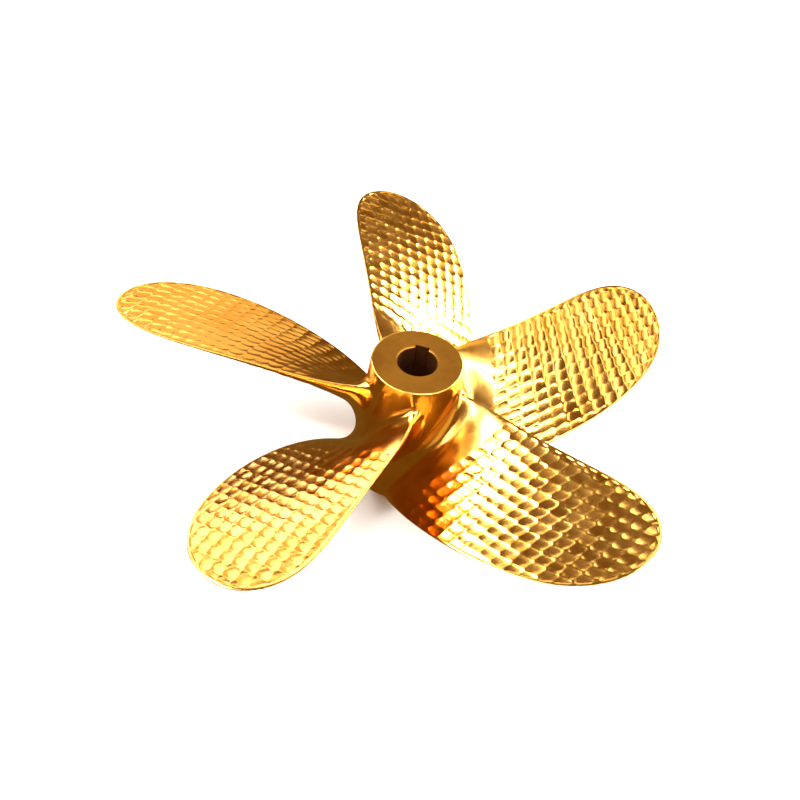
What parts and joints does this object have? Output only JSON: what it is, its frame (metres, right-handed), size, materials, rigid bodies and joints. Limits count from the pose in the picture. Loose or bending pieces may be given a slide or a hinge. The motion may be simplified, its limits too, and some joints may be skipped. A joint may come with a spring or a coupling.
{
  "type": "boat propeller",
  "caption": "Right-handed fixed-pitch bronze boat propeller with raked-back blades, a conical hub, and a keyed tapered bore that fits a shaft.",
  "frame": {"origin": "on the shaft axis, in the plane where the blades' mid-chord lines start", "axes": "+Z along the shaft axis, pointing aft; +Y along blade_1 and the keyway"},
  "size_m": [0.926, 0.9597, 0.2595],
  "materials": {
    "hub_bronze": "machined faces, polished fillets",
    "blade_bronze": "polished, with a hand-ground scale pattern"
  },
  "bodies": {
    "root": {"hub": "hub_bronze", "blade_1": "blade_bronze", "blade_2": "blade_bronze", "blade_3": "blade_bronze", "blade_4": "blade_bronze", "blade_5": "blade_bronze"}
  },
  "joints": []
}
